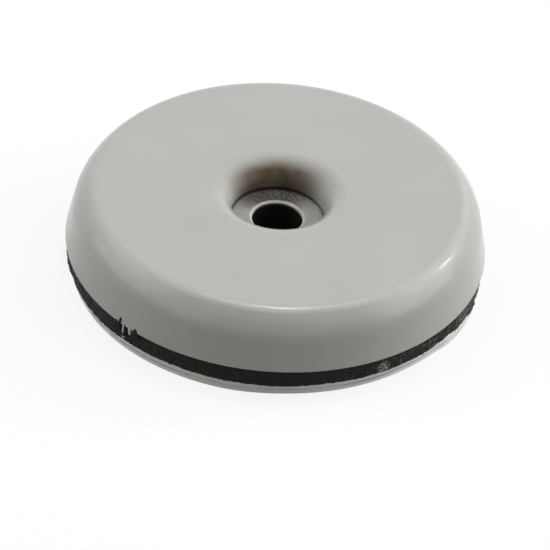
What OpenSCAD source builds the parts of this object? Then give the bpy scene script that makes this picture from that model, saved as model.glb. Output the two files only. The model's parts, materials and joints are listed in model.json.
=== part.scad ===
// Screw-fixed furniture slider: a moulded low-friction glide on a cushioned, self-adhesive back.
// It lies with its sliding face up. Z is the axis, and z = 0 is the underside of the release liner.

/* [Glide body] */
// Diameter of the moulded body at its foot
body_d = 30; // [26:0.5:50]
// Height of the moulded body, from its foot to the sliding face
body_h = 4.25; // [3.6:0.05:7]
// Draft of the side wall, in degrees from upright
side_draft = 11; // [2:0.5:15]
// Radius of the round shoulder above the side wall
shoulder_r = 3.1; // [1.2:0.1:4]
// Radius of the tighter edge between the shoulder and the sliding face
edge_r = 1; // [0.2:0.05:1.4]
// Angle above the horizontal at which the shoulder turns into that edge
shoulder_end = 50; // [30:1:70]

/* [Screw recess] */
// Diameter of the flat seat for the screw's head
seat_d = 6.7; // [5.5:0.1:9]
// Depth of that seat below the sliding face
seat_depth = 2.2; // [1.8:0.1:3.2]
// Radius of the bull-nosed lip round the mouth of the recess
lip_r = 1.5; // [0.6:0.1:1.8]
// Shank diameter of the wood screw
screw_d = 3.5; // [2.5:0.1:4.5]
// Clearance of the screw in its hole, on the diameter
screw_clearance = 0.1; // [0.05:0.05:0.5]
// Radius of the rounded upper edge of the screw hole
hole_edge_r = 0.25; // [0.1:0.05:0.4]

/* [Cushion] */
// How far the foam pad stands back from the body's foot
pad_setback = 0.25; // [0:0.05:0.6]
// Thickness of the foam pad
pad_t = 1.25; // [0.6:0.05:3]
// How much wider the screw hole is in the layers behind the body, on the diameter
layer_hole_clearance = 0.4; // [0.2:0.1:1]
// Thickness of the film that bonds the pad to the body
bond_t = 0.15; // [0.1:0.05:0.3]
// How far the bonding film stands back from the pad's edge
bond_setback = 0.4; // [0.1:0.05:1]

/* [Backing] */
// How far the mounting adhesive stands back from the pad's edge
adhesive_setback = 0.15; // [0:0.05:0.6]
// Thickness of the mounting adhesive
adhesive_t = 0.65; // [0.2:0.05:1]
// How far the release liner stands back from the adhesive's edge
liner_setback = 0.1; // [0:0.05:0.5]
// Thickness of the release liner
liner_t = 0.35; // [0.1:0.05:0.5]

/* [Hidden] */
$fn = 96;
// How far a cut runs past the face that it opens
overrun = 1;

// Radii of the layers, each set back from the one before
body_r = body_d / 2;
pad_r = body_r - pad_setback;
bond_r = pad_r - bond_setback;
adhesive_r = pad_r - adhesive_setback;
liner_r = adhesive_r - liner_setback;

// Heights at which the layers start
adhesive_z = liner_t;
pad_z = adhesive_z + adhesive_t;
bond_z = pad_z + pad_t;
body_z = bond_z + bond_t;

// Screw hole, through the body and through the layers behind it
hole_r = (screw_d + screw_clearance) / 2;
layer_hole_r = hole_r + layer_hole_clearance / 2;

// Seat of the screw's head, and the centre of its lip's arc
seat_r = seat_d / 2;
seat_z = body_h - seat_depth;
lip_centre = [seat_r + lip_r, body_h - lip_r];

// The shoulder's arc touches the side wall, and the edge's arc touches both it and the sliding face
arc_gap = shoulder_r - edge_r;
shoulder_z = body_h - edge_r - arc_gap * sin(shoulder_end);
shoulder_x = body_r - (shoulder_r + shoulder_z * sin(side_draft)) / cos(side_draft);
shoulder_centre = [shoulder_x, shoulder_z];
edge_centre = shoulder_centre + arc_gap * [cos(shoulder_end), sin(shoulder_end)];
side_top = shoulder_centre + shoulder_r * [cos(side_draft), sin(side_draft)];
shoulder_top = shoulder_centre + shoulder_r * [cos(shoulder_end), sin(shoulder_end)];

// Slice of a disc about a centre, between two angles less than a half turn apart
module sector(centre, radius, from, to) {
    middle = (from + to) / 2;
    reach = 2 * radius / cos((to - from) / 2);
    translate(centre)
        intersection() {
            circle(r = radius);
            polygon([
                [0, 0],
                reach * [cos(from), sin(from)],
                reach * [cos(middle), sin(middle)],
                reach * [cos(to), sin(to)]
            ]);
        }
}

// Half section of the body without the recess: its chords, filled out by the slices of its two arcs
module body_outline() {
    polygon([
        [0, 0],
        [body_r, 0],
        side_top,
        shoulder_top,
        [edge_centre.x, body_h],
        [0, body_h]
    ]);
    sector(shoulder_centre, shoulder_r, side_draft, shoulder_end);
    sector(edge_centre, edge_r, shoulder_end, 90);
}

// Half section of the recess: a flat-floored pocket whose mouth opens over the bull-nosed lip
module recess_outline() {
    translate([0, seat_z])
        square([seat_r, seat_depth + overrun]);
    difference() {
        translate([0, lip_centre.y])
            square([lip_centre.x, lip_r + overrun]);
        translate(lip_centre)
            circle(r = lip_r);
    }
}

// Half section of the screw hole with its rounded upper edge
module hole_outline() {
    edge_x = hole_r + hole_edge_r;
    translate([0, -overrun])
        square([hole_r, seat_z + 2 * overrun]);
    difference() {
        translate([0, seat_z - hole_edge_r])
            square([edge_x, hole_edge_r + overrun]);
        translate([edge_x, seat_z - hole_edge_r])
            circle(r = hole_edge_r);
    }
}

// Flat round layer with the screw hole through it
module layer(radius, thickness) {
    difference() {
        cylinder(r = radius, h = thickness);
        translate([0, 0, -overrun])
            cylinder(r = layer_hole_r, h = thickness + 2 * overrun);
    }
}

// Moulded low-friction glide with its screw recess
module glide_body() {
    color([0.74, 0.74, 0.72])
        translate([0, 0, body_z])
            rotate_extrude()
                difference() {
                    body_outline();
                    recess_outline();
                    hole_outline();
                }
}

// Thin film of adhesive between the body and the pad
module bonding_film() {
    color([0.85, 0.82, 0.72])
        translate([0, 0, bond_z])
            layer(bond_r, bond_t);
}

// Die-cut foam pad that evens out the load
module cushion_pad() {
    color([0.11, 0.12, 0.1])
        translate([0, 0, pad_z])
            layer(pad_r, pad_t);
}

// Double-sided adhesive that holds the slider while it is screwed on
module mounting_adhesive() {
    color([0.93, 0.93, 0.91])
        translate([0, 0, adhesive_z])
            layer(adhesive_r, adhesive_t);
}

// Paper liner that is peeled off before the slider is fixed
module release_liner() {
    color([0.98, 0.98, 0.96])
        layer(liner_r, liner_t);
}

glide_body();
bonding_film();
cushion_pad();
mounting_adhesive();
release_liner();
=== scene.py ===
"""Furniture slider, lying with its sliding face up.

A moulded grey glide sits on a black foam cushion, a white mounting adhesive and a paper release liner.
Lengths are in metres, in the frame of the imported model. Z is the axis of the screw hole, and z = 0 is the
underside of the liner. The photograph looks along +Y, so -Y is the front and +X is on the right.
"""

import json
import logging
import math
from dataclasses import dataclass
from enum import Enum
from typing import Any, Callable, Mapping

import bmesh
import bpy
from mathutils import Matrix, Vector


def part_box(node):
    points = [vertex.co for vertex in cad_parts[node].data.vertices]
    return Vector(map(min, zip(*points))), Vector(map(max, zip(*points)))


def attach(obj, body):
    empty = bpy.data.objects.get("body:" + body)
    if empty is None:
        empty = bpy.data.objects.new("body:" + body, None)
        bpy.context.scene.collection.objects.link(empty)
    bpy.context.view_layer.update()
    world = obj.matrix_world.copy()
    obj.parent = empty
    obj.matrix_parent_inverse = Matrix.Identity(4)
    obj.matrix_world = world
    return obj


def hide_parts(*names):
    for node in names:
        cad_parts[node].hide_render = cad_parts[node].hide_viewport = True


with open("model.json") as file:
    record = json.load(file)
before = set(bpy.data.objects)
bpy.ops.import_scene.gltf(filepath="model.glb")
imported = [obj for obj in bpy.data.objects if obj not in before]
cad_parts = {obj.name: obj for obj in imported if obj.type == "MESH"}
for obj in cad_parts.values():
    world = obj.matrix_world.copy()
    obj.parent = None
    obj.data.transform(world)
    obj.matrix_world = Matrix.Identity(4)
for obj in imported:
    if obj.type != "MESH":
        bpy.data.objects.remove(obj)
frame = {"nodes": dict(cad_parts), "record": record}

LOG = logging.getLogger("slider")
MM = 0.001
TINY = 1e-7
ORIGIN = (0, 0, 0)
WHITE = (1.0, 1.0, 1.0, 1.0)
# Middle of a number that goes from 0 to 1
MIDDLE = 0.5
# Share of a layer's radius from which a corner belongs to its cut edge
EDGE_SHARE = 0.9

Number = float | int
Span = tuple[float, float]
Colour = tuple[float, float, float, float]


class Node(Enum):
    """The CAD nodes of the slider."""

    GLIDE = "glide_body"
    FILM = "bonding_film"
    CUSHION = "cushion_pad"
    ADHESIVE = "mounting_adhesive"
    LINER = "release_liner"


class Slot(Enum):
    """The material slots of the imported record."""

    PLASTIC = "glide_plastic"
    FILM = "bonding_adhesive"
    FOAM = "black_foam"
    ADHESIVE = "white_adhesive"
    PAPER = "liner_paper"


class Body(Enum):
    """The one rigid body that every piece rides on."""

    ROOT = "root"


class Rag(Enum):
    """Blender's textures that roughen a cut edge."""

    CLOUDS = "CLOUDS"
    CELLS = "VORONOI"


class Pick(Enum):
    """What a selection in edit mode is made of."""

    CORNERS = "VERT"
    EDGES = "EDGE"


class Value:
    """A number, colour, vector or surface in a graph. Arithmetic on a number adds Math nodes."""

    def __init__(self, graph: "Graph", socket: bpy.types.NodeSocket | None) -> None:
        """Keeps the graph and the socket that the value comes from, which an output node doesn't have."""
        self.graph = graph
        self.socket = socket

    def _math(self, operation: str, *operands: "Value | Number") -> "Value":
        """Adds one Math node.

        Args:
            operation: Blender's name of the operation.
            operands: the numbers that it takes, in order.

        Returns:
            The result.
        """
        return self.graph.make("ShaderNodeMath", {"operation": operation}, dict(enumerate(operands)))

    def __add__(self, other: "Value | Number") -> "Value":
        """Sum."""
        return self._math("ADD", self, other)

    def __radd__(self, other: Number) -> "Value":
        """Sum with a plain number on the left."""
        return self._math("ADD", other, self)

    def __sub__(self, other: "Value | Number") -> "Value":
        """Difference."""
        return self._math("SUBTRACT", self, other)

    def __rsub__(self, other: Number) -> "Value":
        """Difference from a plain number."""
        return self._math("SUBTRACT", other, self)

    def __mul__(self, other: "Value | Number") -> "Value":
        """Product."""
        return self._math("MULTIPLY", self, other)

    def __rmul__(self, other: Number) -> "Value":
        """Product with a plain number on the left."""
        return self._math("MULTIPLY", other, self)

    def __truediv__(self, other: "Value | Number") -> "Value":
        """Quotient."""
        return self._math("DIVIDE", self, other)

    def __rtruediv__(self, other: Number) -> "Value":
        """Quotient of a plain number."""
        return self._math("DIVIDE", other, self)

    def __abs__(self) -> "Value":
        """Size without sign."""
        return self._math("ABSOLUTE", self)

    def root(self) -> "Value":
        """Square root."""
        return self._math("SQRT", self)

    def sway(self, amount: float) -> "Value":
        """Goes from minus to plus half the amount as the number goes from 0 to 1."""
        return (self - MIDDLE) * amount

    def rise(self, low: Number, high: Number) -> "Value":
        """Eases from 0 to 1 as the number goes from low to high.

        Args:
            low: where the result is 0.
            high: where the result is 1. It may lie below low.

        Returns:
            A number from 0 to 1.
        """
        flip = low > high
        ends = {1: high, 2: low} if flip else {1: low, 2: high}
        eased = self.graph.make("ShaderNodeMapRange", {"interpolation_type": "SMOOTHSTEP"}, {0: self, **ends})
        return 1 - eased if flip else eased

    def rise_about(self, centre: Number, span: Span) -> "Value":
        """Eases from 0 to 1 between two ends that are measured from a centre."""
        return self.rise(centre + span[0], centre + span[1])


class Graph:
    """The node graph of one material or world."""

    def __init__(self, tree: bpy.types.NodeTree) -> None:
        """Takes a node tree and empties it."""
        self.tree = tree
        tree.nodes.clear()

    def make(
        self,
        kind: str,
        settings: Mapping[str, Any] | None = None,
        inputs: Mapping[int | str, Any] | None = None,
        output: int | str = 0,
    ) -> Value:
        """Adds a node.

        Args:
            kind: Blender's type name of the node.
            settings: the node's properties, which are set first.
            inputs: value or link of each socket, by its name or number.
            output: name or number of the socket that is wanted.

        Returns:
            That output.
        """
        node = self.tree.nodes.new(kind)
        for name, setting in (settings or {}).items():
            setattr(node, name, setting)
        for name, given in (inputs or {}).items():
            if isinstance(given, Value):
                self.tree.links.new(given.socket, node.inputs[name])
            else:
                node.inputs[name].default_value = given
        return Value(self, node.outputs[output] if node.outputs else None)

    def place(self) -> Value:
        """Position on the piece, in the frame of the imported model."""
        return self.make("ShaderNodeTexCoord", output="Object")

    def coordinates(self) -> tuple[Value, Value, Value]:
        """The x, y and z of that position."""
        node = self.make("ShaderNodeSeparateXYZ", inputs={0: self.place()}).socket.node
        return tuple(Value(self, socket) for socket in node.outputs)

    def distance(self, spot: tuple[float, float, float]) -> Value:
        """Distance of that position from a spot."""
        return self.make("ShaderNodeVectorMath", {"operation": "DISTANCE"}, {0: self.place(), 1: spot}, 1)

    def cells(self, size: float) -> Value:
        """Distance to the nearest of scattered cell centres, in cells of this size."""
        return self.make("ShaderNodeTexVoronoi", {}, {"Vector": self.place(), "Scale": 1 / size}, "Distance")

    def mix(self, share: Value, first: Value | Colour, second: Value | Colour) -> Value:
        """Blends two colours.

        Args:
            share: how much of the second there is, from 0 to 1.
            first: colour at 0.
            second: colour at 1.

        Returns:
            The blend.
        """
        colours = {"Factor": share, 6: first, 7: second}
        return self.make("ShaderNodeMix", {"data_type": "RGBA"}, colours, 2)

    def bump(self, height: Value, depth: float, below: Value | None = None) -> Value:
        """Relief without geometry.

        Args:
            height: how high the surface stands, from 0 to 1.
            depth: what a height of 1 measures, in metres.
            below: another relief that this one lies on.

        Returns:
            The normal.
        """
        inputs = {"Height": height, "Distance": depth}
        if below:
            inputs["Normal"] = below
        return self.make("ShaderNodeBump", inputs=inputs)

    def skin(self, inputs: Mapping[str, Any]) -> Value:
        """One Principled surface."""
        return self.make("ShaderNodeBsdfPrincipled", inputs=inputs)

    def blend(self, share: Value, first: Value, second: Value) -> Value:
        """Blends two surfaces, from the first at 0 to the second at 1."""
        return self.make("ShaderNodeMixShader", inputs={0: share, 1: first, 2: second})

    def shade(self, surface: Value) -> None:
        """Ends a material's graph in a surface."""
        self.make("ShaderNodeOutputMaterial", inputs={"Surface": surface})


@dataclass(frozen=True)
class Clouds:
    """Cloudy noise: width of its largest blotches, number and strength of its finer layers.

    The span holds the values at which a gap ends and a blotch is full.
    """

    size: float
    detail: float = 2.0
    roughness: float = 0.5
    span: Span = (0.0, 1.0)

    def noise(self, graph: Graph) -> Value:
        """The noise itself, from 0 to 1 and mostly near the middle.

        Args:
            graph: graph of the finish.

        Returns:
            The noise.
        """
        inputs = {
            "Vector": graph.place(),
            "Scale": 1 / self.size,
            "Detail": self.detail,
            "Roughness": self.roughness,
        }
        return graph.make("ShaderNodeTexNoise", inputs=inputs)

    def blotches(self, noise: Value) -> Value:
        """1 on the blotches of the noise and 0 in its gaps."""
        return noise.rise(*self.span)


def new_material(name: str) -> tuple[bpy.types.Material, Graph]:
    """Makes an empty material.

    Args:
        name: name of the material.

    Returns:
        The material and its graph.
    """
    material = bpy.data.materials.new(name)
    material.use_nodes = True
    return material, Graph(material.node_tree)


def new_finish(slot: Slot) -> tuple[bpy.types.Material, Graph]:
    """Makes an empty material for a slot."""
    return new_material(f"{slot.value}_finish")


@dataclass(frozen=True)
class GlidePlastic:
    """Light grey low-friction plastic with a satin moulded skin. Inside its screw recess it is duller, with
    brown painted shade, dark specks, a painted highlight along the hole's edge and near-black painted shade
    down the hole.

    The first five fields are the sizes of the recess. Spans say between which places a mask rises from 0
    to 1, and shares say how much of a colour a mask brings in.
    """

    seat_radius: float
    seat_height: float
    lip_radius: float
    hole_radius: float
    top_height: float
    colour: Colour = (0.436, 0.430, 0.408, 1.0)
    paler: Colour = (0.456, 0.450, 0.428, 1.0)
    # Painted highlight along the upper edge of the screw hole
    wear_and_highlight: Colour = (0.78, 0.77, 0.73, 1.0)
    # Brown painted shade on the walls of the recess
    dust_and_shade: Colour = (0.090, 0.045, 0.010, 1.0)
    # Dark specks on the recess floor, and painted shade in its corner and at its back
    grime_and_shade: Colour = (0.006, 0.005, 0.004, 1.0)
    # Colour of the painted shade on the recess floor and down the screw hole
    shade: Colour = (0.024, 0.020, 0.016, 1.0)
    roughness: float = 0.18
    index: float = 1.45
    dull_roughness: float = 0.6
    dull_level: float = 0.1
    bore_roughness: float = 0.9
    flow: Clouds = Clouds(5 * MM, 3, span=(0.3, 0.7))
    flow_sway: float = 0.04
    grain: Clouds = Clouds(0.3 * MM, 4, 0.65)
    grain_sway: float = 0.06
    grain_depth: float = 0.0015 * MM
    peel: Clouds = Clouds(0.9 * MM, 1)
    peel_depth: float = 0.004 * MM
    specks: Clouds = Clouds(0.14 * MM, 3, 0.7, (0.4, 0.64))
    pit_depth: float = 0.05 * MM
    seat_dulling: float = 0.2
    mottling: Clouds = Clouds(1.1 * MM, 3, span=(0.25, 0.7))
    back_direction: tuple[float, float] = (-0.17, 0.985)
    back_span: Span = (0.23, 1.0)
    dull_span: Span = (-0.5, 0.5)
    mouth_span: Span = (-0.03 * MM, 0.75 * MM)
    lip_span: Span = (0.1 * MM, -0.35 * MM)
    seat_level_span: Span = (0.08 * MM, 0.04 * MM)
    seat_edge_span: Span = (0.05 * MM, -0.1 * MM)
    hole_edge_span: Span = (0.2 * MM, 0.12 * MM)
    hole_edge_level_span: Span = (-0.25 * MM, -0.1 * MM)
    corner_span: Span = (0.26 * MM, 0.04 * MM)
    bore_span: Span = (0.2 * MM, 0.1 * MM)
    bore_depth_span: Span = (0.12 * MM, 0.4 * MM)
    recess_shade_share: float = 0.1
    back_shade_share: float = 0.62
    mottled_shade_share: float = 0.18
    seat_shade_share: float = 0.62
    seat_mottled_shade_share: float = 0.12
    speck_share: float = 0.06
    back_speck_shade_share: float = 0.7
    hole_highlight_share: float = 0.7
    mottled_hole_highlight_share: float = 0.3
    corner_shade_share: float = 0.6
    back_corner_shade_share: float = 0.3

    def material(self) -> bpy.types.Material:
        """Builds the finish.

        Returns:
            The material.
        """
        material, graph = new_finish(Slot.PLASTIC)
        x, y, z = graph.coordinates()
        radius = (x * x + y * y).root()
        facing = (x * self.back_direction[0] + y * self.back_direction[1]) / radius
        flow = self.flow.noise(graph)
        grain = self.grain.noise(graph)
        seat = self._seat(radius, z)
        specks = self.specks.blotches(self.specks.noise(graph)) * seat
        colour = graph.mix(self.flow.blotches(flow), self.colour, self.paler)
        colour = self._painted_light_and_specks(graph, colour, (radius, z), facing.rise(*self.back_span), specks)
        rough = self.roughness + flow.sway(self.flow_sway) + grain.sway(self.grain_sway)
        rough = rough + seat * self.seat_dulling
        peel = graph.bump(self.peel.noise(graph), self.peel_depth)
        fine = graph.bump(grain, self.grain_depth, peel)
        pitted = graph.bump(specks, self.pit_depth, fine)
        skin = graph.skin({"Base Color": colour, "Roughness": rough, "Normal": pitted, "IOR": self.index})
        dull = graph.skin({
            "Base Color": colour,
            "Roughness": self.dull_roughness,
            "Normal": pitted,
            "Specular IOR Level": self.dull_level,
        })
        # Near-black painted shade for the wall of the screw hole
        bore_shade_skin = graph.skin({
            "Base Color": self.shade,
            "Roughness": self.bore_roughness,
            "Specular IOR Level": 0.0,
        })
        surface = graph.blend(self._lip(radius) * facing.rise(*self.dull_span), skin, dull)
        # The wall of the screw hole takes the painted shade
        graph.shade(graph.blend(self._bore(radius, z), surface, bore_shade_skin))
        return material

    def _painted_light_and_specks(
        self, graph: Graph, colour: Value, spot: tuple[Value, Value], back: Value, specks: Value
    ) -> Value:
        """Lays brown painted shade, dark specks and a painted highlight over the colour of the recess.

        Args:
            graph: graph of the finish.
            colour: the clean colour.
            spot: distance from the axis, and height.
            back: 1 on the back side of the recess, where the painted shade is darkest.
            specks: 1 on the specks of its floor.

        Returns:
            The colour with its painted light and specks.
        """
        seat = self._seat(*spot)
        mottling = self.mottling.blotches(self.mottling.noise(graph))
        # Share of the brown painted shade: some all over the recess, most on its back side, mottled
        dusty_and_shaded = self.recess_shade_share + back * (self.back_shade_share + mottling * self.mottled_shade_share)
        layers = (
            # Brown painted shade over the recess walls
            (self._recess(*spot) * dusty_and_shaded * (1 - seat), self.dust_and_shade),
            # Painted shadow of the back wall on the recess floor
            (seat * back * (self.seat_shade_share + mottling * self.seat_mottled_shade_share), self.shade),
            # Dark specks on the recess floor, with painted shade making them darker at the back
            (specks * (self.speck_share + back * self.back_speck_shade_share), self.grime_and_shade),
            # Painted highlight along the upper edge of the screw hole, mottled
            (self._hole_edge(*spot) * (self.hole_highlight_share + mottling * self.mottled_hole_highlight_share), self.wear_and_highlight),
            # Painted shade in the corner between the recess floor and wall, darker at the back
            (self._corner(*spot) * (self.corner_shade_share + back * self.back_corner_shade_share), self.grime_and_shade),
        )
        for share, overlay in layers:
            colour = graph.mix(share, colour, overlay)
        return colour

    def _recess(self, radius: Value, z: Value) -> Value:
        """Rises from 0 at the mouth of the recess to 1 inside it."""
        return self._lip(radius) * (self.top_height - z).rise(*self.mouth_span)

    def _lip(self, radius: Value) -> Value:
        """1 inside the mouth of the recess, 0 outside it."""
        return radius.rise_about(self.seat_radius + self.lip_radius, self.lip_span)

    def _seat(self, radius: Value, z: Value) -> Value:
        """1 on the floor of the recess, 0 elsewhere."""
        level = abs(z - self.seat_height).rise(*self.seat_level_span)
        return level * radius.rise_about(self.seat_radius, self.seat_edge_span)

    def _hole_edge(self, radius: Value, z: Value) -> Value:
        """1 along the upper edge of the screw hole, 0 elsewhere."""
        near = radius.rise_about(self.hole_radius, self.hole_edge_span)
        return near * (z - self.seat_height).rise(*self.hole_edge_level_span)

    def _corner(self, radius: Value, z: Value) -> Value:
        """1 in the corner between the floor and the wall of the recess, 0 elsewhere."""
        across = radius - self.seat_radius
        up = z - self.seat_height
        return (across * across + up * up).root().rise(*self.corner_span)

    def _bore(self, radius: Value, z: Value) -> Value:
        """Rises from 0 at the upper edge of the screw hole to 1 down its wall."""
        near = radius.rise_about(self.hole_radius, self.bore_span)
        return near * (self.seat_height - z).rise(*self.bore_depth_span)


@dataclass(frozen=True)
class Foam:
    """Black closed-cell foam with a die-cut edge, scuffed on the right and with lint on one spot."""

    colour: Colour = (0.0055, 0.0075, 0.0055, 1.0)
    torn: Colour = (0.16, 0.165, 0.15, 1.0)
    lint: Colour = (0.55, 0.55, 0.53, 1.0)
    lint_spot: tuple[float, float, float] = (8.2 * MM, -12.3 * MM, 1.45 * MM)
    lint_span: Span = (0.65 * MM, 0.2 * MM)
    shreds: Clouds = Clouds(0.16 * MM, 2, 0.6, (0.43, 0.58))
    roughness: float = 0.72
    sheen_level: float = 0.12
    cell_size: float = 0.16 * MM
    cell_depth: float = 0.06 * MM
    wall_span: Span = (0.45, 0.8)
    wall_share: float = 0.06
    lumps: Clouds = Clouds(0.35 * MM, 3)
    lump_depth: float = 0.08 * MM
    scuffs: Clouds = Clouds(0.32 * MM, 3, 0.65, (0.5, 0.64))
    scuff_sway: float = 0.3
    scuff_share: float = 0.06
    patches: Clouds = Clouds(2.4 * MM, 2, span=(0.36, 0.6))
    patch_share: float = 0.1
    worn_span: Span = (3 * MM, 12 * MM)
    worn_share: float = 0.6
    faded_span: Span = (12.5 * MM, 14.6 * MM)
    faded_share: float = 0.6
    faded_evenness: float = 0.5

    def material(self) -> bpy.types.Material:
        """Builds the finish.

        Returns:
            The material.
        """
        material, graph = new_finish(Slot.FOAM)
        x = graph.coordinates()[0]
        wall = graph.cells(self.cell_size).rise(*self.wall_span)
        scuff = self.scuffs.blotches(self.scuffs.noise(graph))
        patch = self.patches.blotches(self.patches.noise(graph))
        wear_and_highlight = self.patch_share + x.rise(*self.worn_span) * self.worn_share
        scuffed = scuff * (self.scuff_share + patch * wear_and_highlight)
        uneven = self.faded_evenness + patch * (1 - self.faded_evenness)
        faded = x.rise(*self.faded_span) * self.faded_share * uneven
        colour = graph.mix(wall * self.wall_share + scuffed + faded, self.colour, self.torn)
        shreds = self.shreds.blotches(self.shreds.noise(graph))
        colour = graph.mix(graph.distance(self.lint_spot).rise(*self.lint_span) * shreds, colour, self.lint)
        cells = graph.bump(wall, self.cell_depth)
        graph.shade(graph.skin({
            "Base Color": colour,
            "Roughness": self.roughness + scuff.sway(self.scuff_sway),
            "Normal": graph.bump(self.lumps.noise(graph), self.lump_depth, cells),
            "Specular IOR Level": self.sheen_level,
        }))
        return material


@dataclass(frozen=True)
class SeamShade:
    """Painted shade in the seam between the two white layers, with less of it at the front."""

    colour: Colour = (0.20, 0.20, 0.19, 1.0)
    height: float = 0.36 * MM
    height_span: Span = (0.11 * MM, 0.05 * MM)
    radius_span: Span = (13.6 * MM, 14.0 * MM)
    front_span: Span = (0.86, 0.97)
    share: float = 0.6
    front_share: float = 0.15

    def paint_seam_shade(self, graph: Graph, colour: Value) -> Value:
        """Lays the painted shade over a layer's colour.

        Args:
            graph: graph of the layer's finish.
            colour: the clean colour.

        Returns:
            The colour with its painted shade.
        """
        x, y, z = graph.coordinates()
        radius = (x * x + y * y).root()
        front = (0 - y / radius).rise(*self.front_span)
        line = radius.rise(*self.radius_span) * abs(z - self.height).rise(*self.height_span)
        # Painted shade along the seam, weaker at the front
        return graph.mix(line * (self.share - front * (self.share - self.front_share)), colour, self.colour)


@dataclass(frozen=True)
class WhiteTape:
    """Dull white adhesive tape."""

    colour: Colour = (0.92, 0.92, 0.90, 1.0)
    dusty_and_shaded: Colour = (0.80, 0.80, 0.78, 1.0)
    roughness: float = 0.45
    gloss_level: float = 0.8
    dust_and_shade: Clouds = Clouds(0.7 * MM, 5, 0.7, (0.45, 0.75))
    dust_sway: float = 0.3
    gum: Clouds = Clouds(0.25 * MM, 3)
    gum_depth: float = 0.03 * MM
    seam: SeamShade = SeamShade()

    def material(self) -> bpy.types.Material:
        """Builds the finish.

        Returns:
            The material.
        """
        material, graph = new_finish(Slot.ADHESIVE)
        dust_and_shade = self.dust_and_shade.noise(graph)
        colour = graph.mix(self.dust_and_shade.blotches(dust_and_shade), self.colour, self.dusty_and_shaded)
        graph.shade(graph.skin({
            "Base Color": self.seam.paint_seam_shade(graph, colour),
            "Roughness": self.roughness + dust_and_shade.sway(self.dust_sway),
            "Normal": graph.bump(self.gum.noise(graph), self.gum_depth),
            "Specular IOR Level": self.gloss_level,
        }))
        return material


@dataclass(frozen=True)
class LinerPaper:
    """Smooth white paper with a silicone coat."""

    colour: Colour = (0.92, 0.92, 0.90, 1.0)
    fibre: Colour = (0.80, 0.80, 0.77, 1.0)
    roughness: float = 0.42
    gloss_level: float = 0.8
    felt: Clouds = Clouds(0.12 * MM, 4, 0.7, (0.5, 0.75))
    felt_share: float = 0.5
    felt_depth: float = 0.012 * MM
    cloud: Clouds = Clouds(3 * MM, 2, span=(0.4, 0.8))
    cloud_share: float = 0.15
    cloud_sway: float = 0.2
    seam: SeamShade = SeamShade()

    def material(self) -> bpy.types.Material:
        """Builds the finish.

        Returns:
            The material.
        """
        material, graph = new_finish(Slot.PAPER)
        felt = self.felt.noise(graph)
        cloud = self.cloud.noise(graph)
        fibres = self.felt.blotches(felt) * self.felt_share + self.cloud.blotches(cloud) * self.cloud_share
        colour = graph.mix(fibres, self.colour, self.fibre)
        graph.shade(graph.skin({
            "Base Color": self.seam.paint_seam_shade(graph, colour),
            "Roughness": self.roughness + cloud.sway(self.cloud_sway),
            "Normal": graph.bump(felt, self.felt_depth),
            "Specular IOR Level": self.gloss_level,
        }))
        return material


@dataclass(frozen=True)
class BondFilm:
    """Thin cloudy film of dried adhesive."""

    colour: Colour = (0.62, 0.58, 0.46, 1.0)
    milky: Colour = (0.74, 0.71, 0.62, 1.0)
    roughness: float = 0.4
    cloud: Clouds = Clouds(1.5 * MM, 4, span=(0.35, 0.65))
    cloud_sway: float = 0.2
    streaks: Clouds = Clouds(0.4 * MM, 2)
    streak_depth: float = 0.02 * MM

    def material(self) -> bpy.types.Material:
        """Builds the finish.

        Returns:
            The material.
        """
        material, graph = new_finish(Slot.FILM)
        cloud = self.cloud.noise(graph)
        graph.shade(graph.skin({
            "Base Color": graph.mix(self.cloud.blotches(cloud), self.colour, self.milky),
            "Roughness": self.roughness + cloud.sway(self.cloud_sway),
            "Normal": graph.bump(self.streaks.noise(graph), self.streak_depth),
        }))
        return material


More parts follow.
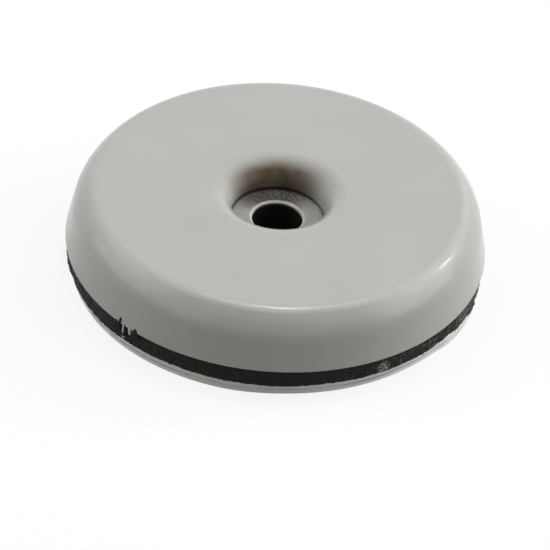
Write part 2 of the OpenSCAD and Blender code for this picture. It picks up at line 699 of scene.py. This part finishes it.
class Bench:
    """Modelling steps that the pieces share, each done by an operator on the active object."""

    @staticmethod
    def ring_wall(name: str, radius: float, low: float, high: float, segments: int) -> bpy.types.Object:
        """Adds an open upright wall round the axis, and enters edit mode.

        Args:
            name: name of the piece.
            radius: its radius.
            low: height of its foot.
            high: height of its top.
            segments: how many faces go round.

        Returns:
            The new object, at the origin.
        """
        bpy.ops.object.select_all(action="DESELECT")
        bpy.ops.mesh.primitive_cylinder_add(
            vertices=segments,
            radius=radius,
            depth=high - low,
            end_fill_type="NOTHING",
            location=(0, 0, (low + high) / 2),
        )
        piece = bpy.context.object
        piece.name = name
        piece.data.name = name
        bpy.ops.object.transform_apply(location=True, rotation=True, scale=True)
        bpy.ops.object.mode_set(mode="EDIT")
        return piece

    @staticmethod
    def select(
        piece: bpy.types.Object, test: Callable[[Vector], bool], pick: Pick = Pick.CORNERS
    ) -> None:
        """Selects, in edit mode, what has all its corners where the test holds.

        Args:
            piece: the object in edit mode.
            test: says whether a corner counts.
            pick: what the selection is made of.
        """
        bpy.ops.mesh.select_mode(type=Pick.CORNERS.value)
        bpy.ops.mesh.select_all(action="DESELECT")
        mesh = bmesh.from_edit_mesh(piece.data)
        for corner in mesh.verts:
            corner.select = test(corner.co)
        mesh.select_flush_mode()
        bmesh.update_edit_mesh(piece.data)
        bpy.ops.mesh.select_mode(type=pick.value)

    @staticmethod
    def select_edges(piece: bpy.types.Object, test: Callable[[Vector, Vector], bool]) -> None:
        """Selects, in edit mode, the edges that pass a test.

        Args:
            piece: the object in edit mode.
            test: says, from its two ends, whether an edge counts.
        """
        bpy.ops.mesh.select_mode(type=Pick.EDGES.value)
        bpy.ops.mesh.select_all(action="DESELECT")
        mesh = bmesh.from_edit_mesh(piece.data)
        for edge in mesh.edges:
            edge.select = test(*(corner.co for corner in edge.verts))
        bmesh.update_edit_mesh(piece.data)

    @staticmethod
    def cut_rows(piece: bpy.types.Object, rows: int) -> None:
        """Cuts the upright edges of a ring wall, in edit mode, so that it has this many rows of faces."""
        Bench.select_edges(piece, lambda first, second: abs(first.z - second.z) > TINY)
        bpy.ops.mesh.subdivide(number_cuts=rows - 1)

    @staticmethod
    def widen(share: float, **options: Any) -> None:
        """Scales the selection, in edit mode, away from the axis, with the operator's other options."""
        bpy.ops.transform.resize(value=(share, share, 1), center_override=ORIGIN, **options)

    @staticmethod
    def fill_ring(piece: bpy.types.Object, heights: tuple[float, ...], radii: tuple[float, ...]) -> None:
        """Gives a ring wall flat faces at both ends and a wall round its hole, in edit mode.

        Args:
            piece: the ring wall.
            heights: its ends.
            radii: radii of the loops on each face, from its outline in to its hole.
        """
        for height in heights:
            Bench.select(piece, lambda co, level=height: abs(co.z - level) < TINY)
            for radius, inner in zip(radii, radii[1:]):
                bpy.ops.mesh.extrude_region_move()
                Bench.widen(inner / radius)
        Bench.select(piece, lambda co: co.xy.length < radii[-1] + TINY, Pick.EDGES)
        bpy.ops.mesh.bridge_edge_loops()

    @staticmethod
    def round_rim(piece: bpy.types.Object, radius: float, offset: float, segments: int) -> None:
        """Bevels the outer rims of a ring, in edit mode.

        Args:
            piece: the ring.
            radius: radius of its outline.
            offset: how far the bevel reaches.
            segments: how many faces it has.
        """
        Bench.select_edges(
            piece,
            lambda first, second: min(first.xy.length, second.xy.length) > radius - TINY
            and abs(first.z - second.z) < TINY,
        )
        bpy.ops.mesh.bevel(offset=offset, segments=segments)

    @staticmethod
    def group(piece: bpy.types.Object, name: str, test: Callable[[Vector], bool]) -> None:
        """Names the corners where the test holds, so that only they are roughened.

        Args:
            piece: the object.
            name: name of the vertex group.
            test: says whether a corner counts.
        """
        corners = [corner.index for corner in piece.data.vertices if test(corner.co)]
        piece.vertex_groups.new(name=name).add(corners, 1.0, "REPLACE")

    @staticmethod
    def close() -> None:
        """Merges doubles, turns the faces outwards and leaves edit mode."""
        bpy.ops.mesh.select_all(action="SELECT")
        bpy.ops.mesh.remove_doubles(threshold=TINY)
        bpy.ops.mesh.normals_make_consistent(inside=False)
        bpy.ops.object.mode_set(mode="OBJECT")

    @staticmethod
    def roughen(piece: bpy.types.Object, group: str, rag: Rag, size: float, strength: float) -> None:
        """Displaces a group of corners along their normals by a texture, and applies it.

        Args:
            piece: the active object.
            group: name of its vertex group, or nothing for all corners.
            rag: the texture.
            size: width of the texture's blotches.
            strength: how far the surface moves in all.
        """
        texture = bpy.data.textures.new(f"{piece.name}_{rag.value.lower()}", rag.value)
        texture.noise_scale = size
        modifier = piece.modifiers.new("roughen", "DISPLACE")
        modifier.texture = texture
        modifier.texture_coords = "LOCAL"
        modifier.vertex_group = group
        modifier.mid_level = MIDDLE
        modifier.strength = strength
        bpy.ops.object.modifier_apply(modifier=modifier.name)

    @staticmethod
    def dress(piece: bpy.types.Object, material: bpy.types.Material) -> None:
        """Gives a piece its only material."""
        piece.data.materials.clear()
        piece.data.materials.append(material)


def hand_over(piece: bpy.types.Object, node: Node) -> None:
    """Puts a new piece on the root body and hides the CAD part that it stands for.

    Args:
        piece: the piece.
        node: the CAD node that it replaces.
    """
    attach(piece, Body.ROOT.value)
    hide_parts(node.value)


@dataclass
class MouldedGlide:
    """The grey glide and the film under it, whose shapes are the CAD nodes' own."""

    seat_radius: float = 3.35 * MM
    lip_radius: float = 1.5 * MM
    hole_edge: float = 0.25 * MM

    def dress(self) -> list[bpy.types.Object]:
        """Gives both their finishes.

        Returns:
            The glide and the film.
        """
        low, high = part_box(Node.GLIDE.value)
        bore = next(m for m in frame["record"]["mounts"] if m["name"] == "screw_bore")["dims"]
        seat_height = low.z + bore["length_mm"] * MM + self.hole_edge
        plastic = GlidePlastic(self.seat_radius, seat_height, self.lip_radius, bore["r_mm"] * MM, high.z)
        glide, film = (frame["nodes"][node.value] for node in (Node.GLIDE, Node.FILM))
        Bench.dress(glide, plastic.material())
        Bench.dress(film, BondFilm().material())
        return [glide, film]


@dataclass(frozen=True)
class Pull:
    """A stretch of a layer's cut edge that stands out from the round outline, or back from it.

    Azimuths go round from 0 on the right, and 270 is the front.
    """

    azimuth: float
    half_width: float
    fade: float
    reach: float
    above: float = 0.0

    def apply(self, piece: bpy.types.Object, radius: float) -> None:
        """Moves the edge, in edit mode.

        Args:
            piece: the layer.
            radius: radius of its outline.
        """
        turn = math.radians(self.azimuth)
        spot = Vector((math.cos(turn), math.sin(turn))) * radius
        Bench.select(
            piece,
            lambda co: co.z >= self.above
            and co.xy.length > EDGE_SHARE * radius
            and (co.xy - spot).length < self.half_width,
        )
        Bench.widen(
            1 + self.reach / radius,
            use_proportional_edit=True,
            proportional_edit_falloff="SMOOTH",
            proportional_size=self.fade,
        )


@dataclass(frozen=True)
class Scrap:
    """A torn scrap that stands up from a layer's cut edge and leans on the glide's side."""

    azimuth: float
    radius: float
    foot: float
    height: float
    width: float
    sideways: float = 0.0
    lean: float = 11.0
    thickness: float = 0.22 * MM
    tip_share: float = 0.4
    sides: int = 16
    cuts: int = 4
    rag_size: float = 0.25 * MM
    rag_depth: float = 0.1 * MM

    def join_to(self, piece: bpy.types.Object) -> None:
        """Models the scrap and makes it a part of a layer.

        Args:
            piece: the layer.
        """
        foot = (self.radius, 0, self.foot)
        bpy.ops.object.select_all(action="DESELECT")
        bpy.ops.mesh.primitive_cone_add(
            vertices=self.sides,
            radius1=self.width / 2,
            radius2=self.width / 2 * self.tip_share,
            depth=self.height,
            end_fill_type="TRIFAN",
            location=(self.radius, 0, self.foot + self.height / 2),
        )
        scrap = bpy.context.object
        scrap.name = f"{piece.name}_scrap"
        bpy.ops.object.transform_apply(location=True, rotation=True, scale=True)
        bpy.ops.object.mode_set(mode="EDIT")
        bpy.ops.mesh.select_all(action="SELECT")
        bpy.ops.mesh.subdivide(number_cuts=self.cuts)
        bpy.ops.transform.resize(value=(self.thickness / self.width, 1, 1), center_override=foot)
        # With no window, the operator turns the other way
        turns = ((self.sideways, "X", foot), (self.lean, "Y", foot), (-self.azimuth, "Z", ORIGIN))
        for angle, axis, centre in turns:
            bpy.ops.transform.rotate(value=math.radians(angle), orient_axis=axis, center_override=centre)
        Bench.close()
        Bench.roughen(scrap, "", Rag.CLOUDS, self.rag_size, self.rag_depth)
        piece.select_set(True)
        bpy.context.view_layer.objects.active = piece
        bpy.ops.object.join()


@dataclass
class FoamCushion:
    """Die-cut ring of black foam with a ragged, partly torn outer edge."""

    hole_radius: float = 2.0 * MM
    segments: int = 1440
    rows: int = 18
    lip: float = 0.06 * MM
    rag_size: float = 0.7 * MM
    rag_depth: float = 0.11 * MM
    cell_size: float = 0.22 * MM
    cell_depth: float = 0.06 * MM
    fill: float = 0.9
    group: str = "cut_edge"
    pulls: tuple[Pull, ...] = (
        Pull(189, 1.2 * MM, 1.8 * MM, 0.09 * MM),
        Pull(212, 2.0 * MM, 2.0 * MM, 0.1 * MM),
        Pull(250, 6.0 * MM, 4.0 * MM, 0.1 * MM),
        Pull(227.4, 0.1 * MM, 0.22 * MM, -0.3 * MM, above=1.6 * MM),
        Pull(230.1, 0.08 * MM, 0.2 * MM, -0.3 * MM, above=2.0 * MM),
        Pull(337, 0.9 * MM, 1.3 * MM, 0.15 * MM),
        Pull(342, 0.3 * MM, 0.6 * MM, 0.1 * MM),
        Pull(350, 1.4 * MM, 1.6 * MM, 0.08 * MM),
    )
    scraps: tuple[Scrap, ...] = (
        Scrap(225.0, 15.05 * MM, 1.9 * MM, 0.56 * MM, 0.9 * MM),
        Scrap(226.1, 15.08 * MM, 1.8 * MM, 1.0 * MM, 0.5 * MM, sideways=5),
        Scrap(228.7, 15.1 * MM, 1.6 * MM, 0.95 * MM, 0.4 * MM, sideways=-10),
        Scrap(232.0, 15.05 * MM, 1.9 * MM, 0.75 * MM, 0.9 * MM),
        Scrap(342.2, 15.0 * MM, 1.5 * MM, 0.8 * MM, 0.6 * MM),
    )

    def build(self) -> bpy.types.Object:
        """Models the cushion in place of its CAD solid.

        Returns:
            The piece.
        """
        low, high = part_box(Node.CUSHION.value)
        radius = high.x
        piece = Bench.ring_wall("foam_cushion", radius, low.z, high.z, self.segments)
        Bench.cut_rows(piece, self.rows)
        Bench.fill_ring(piece, (high.z, low.z), (radius, radius - self.lip, self.hole_radius))
        for pull in self.pulls:
            pull.apply(piece, radius)
        Bench.close()
        Bench.group(piece, self.group, lambda co: co.xy.length > radius - self.lip)
        Bench.roughen(piece, self.group, Rag.CLOUDS, self.rag_size, self.rag_depth)
        Bench.roughen(piece, self.group, Rag.CELLS, self.cell_size, self.cell_depth)
        for scrap in self.scraps:
            scrap.join_to(piece)
        bpy.ops.object.shade_smooth()
        Bench.dress(piece, Foam().material())
        hand_over(piece, Node.CUSHION)
        return piece


@dataclass
class TapeBacking:
    """The white mounting adhesive and the paper liner on it."""

    hole_radius: float = 2.0 * MM
    segments: int = 720
    adhesive_round: float = 0.12 * MM
    undercut: float = 0.08 * MM
    liner_round: float = 0.08 * MM
    liner_overhang: float = 0.02 * MM
    round_segments: int = 4
    smooth_angle: float = 40.0
    rag_size: float = 1.6 * MM
    rag_depth: float = 0.07 * MM
    group: str = "cut_edge"
    pulls: tuple[Pull, ...] = (
        Pull(339, 1.6 * MM, 2.6 * MM, 0.24 * MM),
        Pull(295, 4.0 * MM, 5.0 * MM, -0.1 * MM),
        Pull(240, 4.0 * MM, 5.0 * MM, 0.04 * MM),
    )
    scraps: tuple[Scrap, ...] = (
        Scrap(227.4, 14.78 * MM, 1.2 * MM, 1.2 * MM, 0.46 * MM, sideways=4, lean=-9),
        Scrap(229.8, 14.76 * MM, 1.6 * MM, 0.85 * MM, 0.4 * MM, sideways=-8, lean=-9),
    )

    def build(self) -> list[bpy.types.Object]:
        """Models both layers in place of their CAD solids.

        Returns:
            The adhesive and the liner.
        """
        adhesive = self._layer(Node.ADHESIVE, "adhesive_layer", self.adhesive_round, undercut=self.undercut)
        for scrap in self.scraps:
            scrap.join_to(adhesive)
        Bench.dress(adhesive, WhiteTape().material())
        hand_over(adhesive, Node.ADHESIVE)
        liner = self._layer(Node.LINER, "paper_liner", self.liner_round, overhang=self.liner_overhang)
        Bench.dress(liner, LinerPaper().material())
        hand_over(liner, Node.LINER)
        return [adhesive, liner]

    def _layer(
        self, node: Node, name: str, round_over: float, overhang: float = 0.0, undercut: float = 0.0
    ) -> bpy.types.Object:
        """Models one flat ring with a rounded, slightly uneven edge.

        Args:
            node: the CAD node that it replaces.
            name: name of the piece.
            round_over: radius of its rounded outer edges.
            overhang: how far its edge stands out from the CAD outline.
            undercut: how far the foot of that edge stands back from its top.

        Returns:
            The piece.
        """
        low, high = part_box(node.value)
        radius = high.x + overhang
        outer = EDGE_SHARE * radius
        piece = Bench.ring_wall(name, radius, low.z, high.z, self.segments)
        Bench.fill_ring(piece, (high.z, low.z), (radius, self.hole_radius))
        Bench.round_rim(piece, radius, round_over, self.round_segments)
        Bench.select(piece, lambda co: co.xy.length > outer and co.z < low.z + round_over)
        Bench.widen(1 - undercut / radius)
        for pull in self.pulls:
            pull.apply(piece, radius)
        Bench.close()
        foot, top = low.z + round_over - TINY, high.z - TINY
        Bench.group(piece, self.group, lambda co: co.xy.length > outer and foot < co.z < top)
        Bench.roughen(piece, self.group, Rag.CLOUDS, self.rag_size, self.rag_depth)
        bpy.ops.object.shade_smooth_by_angle(angle=math.radians(self.smooth_angle))
        return piece


@dataclass(frozen=True)
class Lamp:
    """A soft lamp aimed at the object, square unless it has a height of its own.

    Its level is the brightness of a white surface that faces it. Azimuth 0 is behind the object, and 90 is on
    its right.
    """

    name: str
    azimuth: float
    elevation: float
    level: float
    size: float
    height: float | None = None
    distance: float = 0.5

    def add(self, target: Vector) -> None:
        """Places the lamp.

        Args:
            target: the point that it faces.
        """
        turn, rise = math.radians(self.azimuth), math.radians(self.elevation)
        towards = Vector((math.sin(turn) * math.cos(rise), math.cos(turn) * math.cos(rise), math.sin(rise)))
        data = bpy.data.lights.new(self.name, "AREA")
        data.shape = "RECTANGLE"
        data.size = self.size
        data.size_y = self.height or self.size
        data.energy = self.level * (math.pi * self.distance) ** 2
        lamp = bpy.data.objects.new(self.name, data)
        lamp.location = target + towards * self.distance
        lamp.rotation_euler = towards.to_track_quat("Z", "Y").to_euler()
        bpy.context.scene.collection.objects.link(lamp)


@dataclass(frozen=True)
class Studio:
    """Plain pale floor, soft lamps and a white surround."""

    floor_size: float = 3.0
    floor_gap: float = 0.02 * MM
    floor_colour: Colour = (0.95, 0.95, 0.95, 1.0)
    bounce_colour: Colour = (0.24, 0.23, 0.185, 1.0)
    shadow_share: float = 0.15
    ambient: float = 0.02
    target: tuple[float, float, float] = (0, 0, 3 * MM)
    lamps: tuple[Lamp, ...] = (
        Lamp("overhead_softbox", 0, 76, 0.035, 0.62),
        Lamp("overhead_front_lamp", 180, 78, 0.045, 0.15),
        Lamp("overhead_panel", 8, 76, 0.16, 0.25),
        Lamp("overhead_lamp", 8, 76, 0.105, 0.05),
        Lamp("right_lamp", 66, 24.5, 0.26, 0.05, 0.016),
        Lamp("right_glow", 80, 22, 0.04, 0.25),
        Lamp("right_softbox", 94, 22, 0.30, 0.40),
        Lamp("right_low_softbox", 112, 14, 0.04, 0.25),
        Lamp("right_high_softbox", 75, 50, 0.265, 0.40),
        Lamp("right_back_softbox", 45, 30, 0.16, 0.40),
        Lamp("front_low_softbox", 180, 11, 0.055, 0.60, 0.18),
        Lamp("left_softbox", 268, 25, 0.26, 0.40),
        Lamp("left_low_softbox", 228, 14, 0.055, 0.25),
        Lamp("left_high_softbox", 285, 50, 0.215, 0.40),
        Lamp("left_back_softbox", 315, 30, 0.085, 0.40),
    )

    def build(self) -> None:
        """Sets up the floor, the lamps and the surround."""
        bpy.context.scene.view_settings.view_transform = "Standard"
        self._floor()
        self._surround()
        for lamp in self.lamps:
            lamp.add(Vector(self.target))

    @staticmethod
    def _seen(graph: Graph) -> Value:
        """Tells the rays that show a surface from those that only light the object.

        Args:
            graph: graph of the surface.

        Returns:
            1 for rays from the camera, and for mirrored and refracted ones.
        """
        sockets = graph.make("ShaderNodeLightPath").socket.node.outputs
        names = ("Is Camera Ray", "Is Glossy Ray", "Is Transmission Ray")
        camera, glossy, through = (Value(graph, sockets[name]) for name in names)
        return 1 - (1 - camera) * (1 - glossy) * (1 - through)

    def _floor(self) -> None:
        """Lays the floor, which looks white and keeps a faint shadow."""
        bpy.ops.object.select_all(action="DESELECT")
        bpy.ops.mesh.primitive_plane_add(size=self.floor_size, location=(0, 0, -self.floor_gap))
        bpy.ops.object.transform_apply(location=True, rotation=True, scale=True)
        floor = bpy.context.object
        floor.name = "floor"
        material, graph = new_material("pale_floor")
        seen = self._seen(graph)
        colour = graph.mix(seen, self.bounce_colour, self.floor_colour)
        lit = graph.make("ShaderNodeBsdfDiffuse", inputs={"Color": colour})
        white = graph.make("ShaderNodeEmission", inputs={"Color": WHITE, "Strength": 1.0})
        graph.shade(graph.blend(seen * (1 - self.shadow_share), lit, white))
        Bench.dress(floor, material)

    def _surround(self) -> None:
        """Makes the surround white to look at and dim as a light."""
        world = bpy.data.worlds.new("surround")
        world.use_nodes = True
        bpy.context.scene.world = world
        graph = Graph(world.node_tree)
        dim, white = (
            graph.make("ShaderNodeBackground", inputs={"Color": WHITE, "Strength": strength})
            for strength in (self.ambient, 1.0)
        )
        surface = graph.blend(self._seen(graph), dim, white)
        graph.make("ShaderNodeOutputWorld", inputs={"Surface": surface})


@dataclass(frozen=True)
class PhotoCamera:
    """Camera at the photograph's viewing angle."""

    elevation: float = 37.47
    roll: float = 4.48
    distance: float = 0.351
    pixels_per_metre: float = 14012.0
    axis_pixel: tuple[float, float] = (275.5, 239.5)
    frame_pixels: int = 550
    sensor: float = 36.0

    def build(self) -> None:
        """Makes the scene's camera."""
        target = Vector((0, 0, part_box(Node.GLIDE.value)[0].z))
        rise, roll = math.radians(self.elevation), math.radians(self.roll)
        back = Vector((0, -math.cos(rise), math.sin(rise)))
        right, up = Vector((1, 0, 0)), Vector((0, math.sin(rise), math.cos(rise)))
        across = math.cos(roll) * right + math.sin(roll) * up
        level = Matrix((across, back.cross(across), back)).transposed()
        focal = self.pixels_per_metre * self.distance
        half = self.frame_pixels / 2
        seen = Vector((self.axis_pixel[0] - half, half - self.axis_pixel[1], -focal))
        aim = seen.rotation_difference(Vector((0, 0, -1))).to_matrix()
        data = bpy.data.cameras.new("camera")
        data.sensor_width = self.sensor
        data.lens = focal * self.sensor / self.frame_pixels
        camera = bpy.data.objects.new("camera", data)
        camera.matrix_world = Matrix.Translation(target + back * self.distance) @ (level @ aim).to_4x4()
        bpy.context.scene.collection.objects.link(camera)
        bpy.context.scene.camera = camera


def main() -> None:
    """Builds the slider and its studio, and reports each piece."""
    logging.basicConfig(level=logging.INFO, format="%(name)s: %(message)s")
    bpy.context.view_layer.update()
    PhotoCamera().build()
    Studio().build()
    for piece in (*MouldedGlide().dress(), FoamCushion().build(), *TapeBacking().build()):
        LOG.info("%s: %d faces", piece.name, len(piece.data.polygons))


if __name__ == "__main__":
    main()
